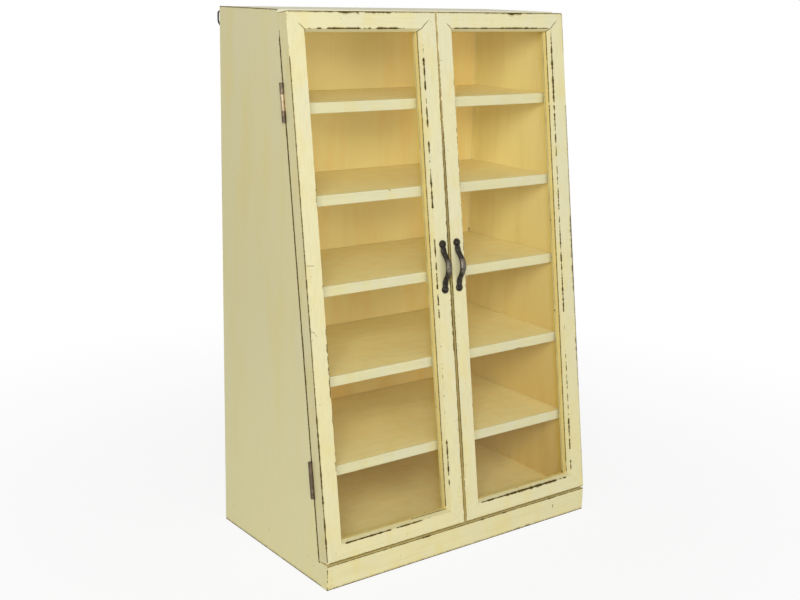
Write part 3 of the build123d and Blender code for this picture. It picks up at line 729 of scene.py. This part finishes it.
def top_paint():
    shader = Shader("paint_top_panel")
    low, high = corners("top_panel")
    wear = random_wear(shader, box_edges(shader, low, high), 0.4, 0.0)
    inside = shader.z.fall(CASE_HEIGHT - 15.5, CASE_HEIGHT - 14)
    # Dust on the top, in a pale colour that is partly painted sheen, and on the front edge near the
    # top.
    dust_and_sheen = settled_dust_and_sheen(shader)
    front_gap = abs(shader.along(-OUT_OF_DOOR, DOOR_FOOT) - JOINT_DEPTH)
    near_top = shader.z.rise(CASE_HEIGHT - 6, CASE_HEIGHT - 5)
    dust_and_sheen = dust_and_sheen.most(front_gap.fall(0.2, 0.5) * near_top * 0.8)
    return paint(shader, BRUSHED_ACROSS, wear, inside, dust_and_sheen=dust_and_sheen)


def back_paint():
    shader = Shader("paint_back_panel")
    low, high = corners("back_panel")
    wear = random_wear(shader, box_edges(shader, low, high), 0.3, 0.0)
    wear = marked(shader, wear, BACK_PANEL_Y, BACK_MARKS)
    inside = shader.y.fall(BACK_PANEL_Y + 0.5, BACK_PANEL_Y + 1.5)
    # Painted shade along the back panel's sides, where it meets the side walls.
    dirt_and_shade = (INNER_HALF_WIDTH - abs(shader.x)).fall(0, 6) * 0.15
    # Painted shade: more of the back panel's darker, more orange colour towards the bottom, and
    # less at the top.
    painted_shade = shader.z.fall(40, 330) * 0.5 - 0.12
    return paint(
        shader, BRUSHED_UPRIGHT, wear, inside, dirt_and_shade=dirt_and_shade, streaks=0.04, blotch=(40, 40, 160),
        inner=INSIDE_BACK, painted_shade=painted_shade,
    )


def bead_paint():
    shader = Shader("paint_beads")
    dirt_and_shade = shader.noise(shader.stretched(20, 20, 20)).rise(0.4, 0.7) * 0.3
    bare = shader.noise(shader.stretched(6, 6, 6)).rise(0.70, 0.74)
    return paint(shader, BEAD_BRUSHED, Wear(bare, bare), 0.5, dirt_and_shade=dirt_and_shade)


# ---- glass and metals ----
GLASS_IOR = 1.25
GLASS_COLOUR = (0.99, 0.995, 0.99)
SHADE_OF_GLASS = (0.985, 0.99, 0.98, 1)


def glass():
    shader = Shader("clear_glass")
    pane = shader.surface(
        Base_Color=GLASS_COLOUR,
        Roughness=0.0,
        IOR=GLASS_IOR,
        Transmission_Weight=1.0,
    )
    rays = shader.put("ShaderNodeLightPath")
    clear = shader.put("ShaderNodeBsdfTransparent")
    clear.inputs[0].default_value = SHADE_OF_GLASS
    for ray in ("Is Diffuse Ray", "Is Shadow Ray"):
        swap = shader.put("ShaderNodeMixShader")
        shader.join(swap.inputs[0], rays.outputs[ray])
        shader.join(swap.inputs[1], pane)
        shader.join(swap.inputs[2], clear.outputs[0])
        pane = swap.outputs[0]
    return shader.show(pane)


def metal(name, look, patina_size, rubbed=None, cast=0.04):
    """Aged metal: patina in patches, and brighter metal where it is rubbed. cast is the depth of
    its cast skin in millimetres."""
    dark, bright, roughness = look
    shader = Shader(name)
    patina = shader.noise(shader.stretched(patina_size, patina_size, patina_size), detail=3)
    fine = shader.noise(shader.stretched(0.9, 0.9, 0.9), detail=2)
    share = patina.rise(0.42, 0.72)
    if rubbed is not None:
        share = share * 0.3 + rubbed(shader) * (patina.rise(0.3, 0.6) * 0.5 + 0.3)
    colour = shader.mix(share, dark, bright)
    return shader.show(
        shader.surface(
            Base_Color=colour,
            Metallic=0.9,
            Roughness=patina * 0.25 + fine * 0.1 + roughness,
            Normal=shader.bump(fine, cast),
        )
    )


def crown_of_grip(shader):
    """The outermost part of a pull, where fingers rub it."""
    return shader.along(OUT_OF_DOOR, DOOR_FOOT).rise(8.0, 11.5)


def nail_paint(name, ring):
    """Nail heads under the paint, which has cracked round some of them."""
    shader = Shader(name)
    rust = shader.noise(shader.stretched(1.1, 1.1, 1.1), detail=2)
    colour = shader.mix(rust.rise(0.50, 0.64) * ring, PAINT_YELLOW, RUSTY_PAINT)
    return shader.show(shader.surface(Base_Color=colour, Roughness=0.55, Specular_IOR_Level=0.3))


def dress(names, material):
    for name in names:
        slots = nodes[name].material_slots
        if not slots:
            nodes[name].data.materials.append(material)
        for slot in slots:
            slot.material = material


for side, sign in (("left", -1), ("right", 1)):
    for member in ("hinge_stile", "meeting_stile", "top_rail", "bottom_rail"):
        dress([f"door_{side}_{member}"], door_paint(side, sign, member))
    dress([f"side_panel_{side}"], side_paint(side, sign))
for number in range(1, 6):
    dress([f"shelf_{number}"], shelf_paint(f"shelf_{number}", number))
dress(["floor_panel"], floor_board_paint())
dress(["top_panel"], top_paint())
dress(["back_panel"], back_paint())
dress(["plinth_front"], plinth_paint())
dress([name for name in nodes if "_bead_" in name and not name.endswith("pins")], bead_paint())
dress(["door_left_glass", "door_right_glass"], glass())
dress(["plinth_nails"], nail_paint("plinth_nail_heads", 0.5))
dress(["carcass_nails"], nail_paint("carcass_nail_heads", 0.1))

bronze = metal("pull_bronze", DARK_BRONZE, 2.6, rubbed=crown_of_grip, cast=0.6)
dress([name for name in nodes if "_pull" in name], bronze)
old_brass = metal("hinge_brass", OLD_BRASS, 7.0)
hinge_parts = [name for name in nodes if name.startswith("hinge_") or name.endswith("hinge_screws")]
dress(hinge_parts, old_brass)
# Painted highlight: the top left hinge's door leaf, with its knuckle, gets the brighter brass.
dress(["hinge_left_top_door_leaf"], metal("hinge_brass_painted_highlight", BRASS_PAINTED_HIGHLIGHT, 7.0))
steel = metal("dull_steel", DULL_STEEL, 3.0)
dress([name for name in nodes if name.startswith("hanger_") or name.endswith("pins")], steel)


# ---- floor, lamps, camera ----
FLOOR_REACH = 4.0
FLOOR_COLOUR = (0.85, 0.85, 0.85, 1)
SHADOW_ENDS = (0.25, 0.95)  # how far from the case the floor's own shading fades to white
FLOOR_WHITENESS = 0.86  # beside the case, where its shadow falls
WORLD_LIGHT = 0.39
# Name, azimuth and elevation in degrees, distance and size in metres, watts.
LAMPS = (("key", 40, 26, 2.4, 0.9, 27.0), ("front", 5, 10, 2.4, 1.5, 12.8))
CAMERA_PLACE = (-0.800241, -1.032773, 0.590867)
CAMERA_ANGLES = (0.649667, 0.251750, 0.024565)  # azimuth, pitch and roll in radians
CAMERA_LENS = 54.715
CAMERA_SENSOR = 36


def seen_directly(shader_tree):
    """1 for what the camera sees, straight on, in a mirror or through glass."""
    rays = shader_tree.nodes.new("ShaderNodeLightPath")
    seen = rays.outputs["Is Camera Ray"]
    for name in ("Is Glossy Ray", "Is Transmission Ray"):
        either = shader_tree.nodes.new("ShaderNodeMath")
        either.operation = "MAXIMUM"
        shader_tree.links.new(seen, either.inputs[0])
        shader_tree.links.new(rays.outputs[name], either.inputs[1])
        seen = either.outputs[0]
    return seen


def make_floor():
    mesh = bpy.data.meshes.new("floor")
    r = FLOOR_REACH
    mesh.from_pydata([(-r, -r, 0), (r, -r, 0), (r, r, 0), (-r, r, 0)], [], [(0, 1, 2, 3)])
    floor = bpy.data.objects.new("floor", mesh)
    bpy.context.scene.collection.objects.link(floor)
    shader = Shader("floor")
    lit = shader.put("ShaderNodeBsdfDiffuse")
    lit.inputs["Color"].default_value = FLOOR_COLOUR
    white = shader.put("ShaderNodeEmission")
    away = (shader.x * shader.x + shader.y * shader.y).root() * (1 / MM)
    whiteness = away.rise(*SHADOW_ENDS) * (1 - FLOOR_WHITENESS) + FLOOR_WHITENESS
    swap = shader.put("ShaderNodeMixShader")
    shader.join(swap.inputs[0], Value(shader, seen_directly(shader.tree)) * whiteness)
    shader.join(swap.inputs[1], lit.outputs[0])
    shader.join(swap.inputs[2], white.outputs[0])
    mesh.materials.append(shader.show(swap.outputs[0]))


def make_world():
    """White to look at, and softer as light."""
    world = bpy.data.worlds.new("studio")
    bpy.context.scene.world = world
    world.use_nodes = True
    tree = world.node_tree
    tree.nodes.clear()
    strength = tree.nodes.new("ShaderNodeMapRange")
    tree.links.new(seen_directly(tree), strength.inputs["Value"])
    strength.inputs["To Min"].default_value = WORLD_LIGHT
    strength.inputs["To Max"].default_value = 1.0
    background = tree.nodes.new("ShaderNodeBackground")
    tree.links.new(strength.outputs[0], background.inputs["Strength"])
    background.inputs["Color"].default_value = (1, 1, 1, 1)
    output = tree.nodes.new("ShaderNodeOutputWorld")
    tree.links.new(background.outputs[0], output.inputs["Surface"])


def make_lamp(name, azimuth, elevation, distance, size, power):
    """A square soft box that faces the case's middle. Azimuth 0 is in front, 90 at its left."""
    lamp = bpy.data.lights.new(name, "AREA")
    lamp.shape = "SQUARE"
    lamp.size = size
    lamp.energy = power
    holder = bpy.data.objects.new(name, lamp)
    bpy.context.scene.collection.objects.link(holder)
    a, e = math.radians(azimuth), math.radians(elevation)
    away = Vector((-math.sin(a) * math.cos(e), -math.cos(a) * math.cos(e), math.sin(e)))
    holder.location = Vector((0, 0, CASE_HEIGHT / 2 / MM)) + away * distance
    holder.rotation_euler = away.to_track_quat("Z", "Y").to_euler()


def make_camera():
    """The photograph's viewpoint: 37 degrees round to the left, looking 14 degrees down, rolled."""
    azimuth, pitch, roll = CAMERA_ANGLES
    ahead = Vector((math.sin(azimuth), math.cos(azimuth), 0))
    forward = ahead * math.cos(pitch) - Vector((0, 0, math.sin(pitch)))
    level = Vector((math.cos(azimuth), -math.sin(azimuth), 0))
    upright = level.cross(forward)
    right = level * math.cos(roll) + upright * math.sin(roll)
    up = upright * math.cos(roll) - level * math.sin(roll)
    camera = bpy.data.cameras.new("camera")
    camera.sensor_width = CAMERA_SENSOR
    camera.lens = CAMERA_LENS
    holder = bpy.data.objects.new("camera", camera)
    bpy.context.scene.collection.objects.link(holder)
    turn = Matrix((right, up, -forward)).transposed().to_4x4()
    holder.matrix_world = Matrix.Translation(CAMERA_PLACE) @ turn
    bpy.context.scene.camera = holder


make_camera()
make_floor()
make_world()
for lamp in LAMPS:
    make_lamp(*lamp)
bpy.context.scene.view_settings.view_transform = "Standard"
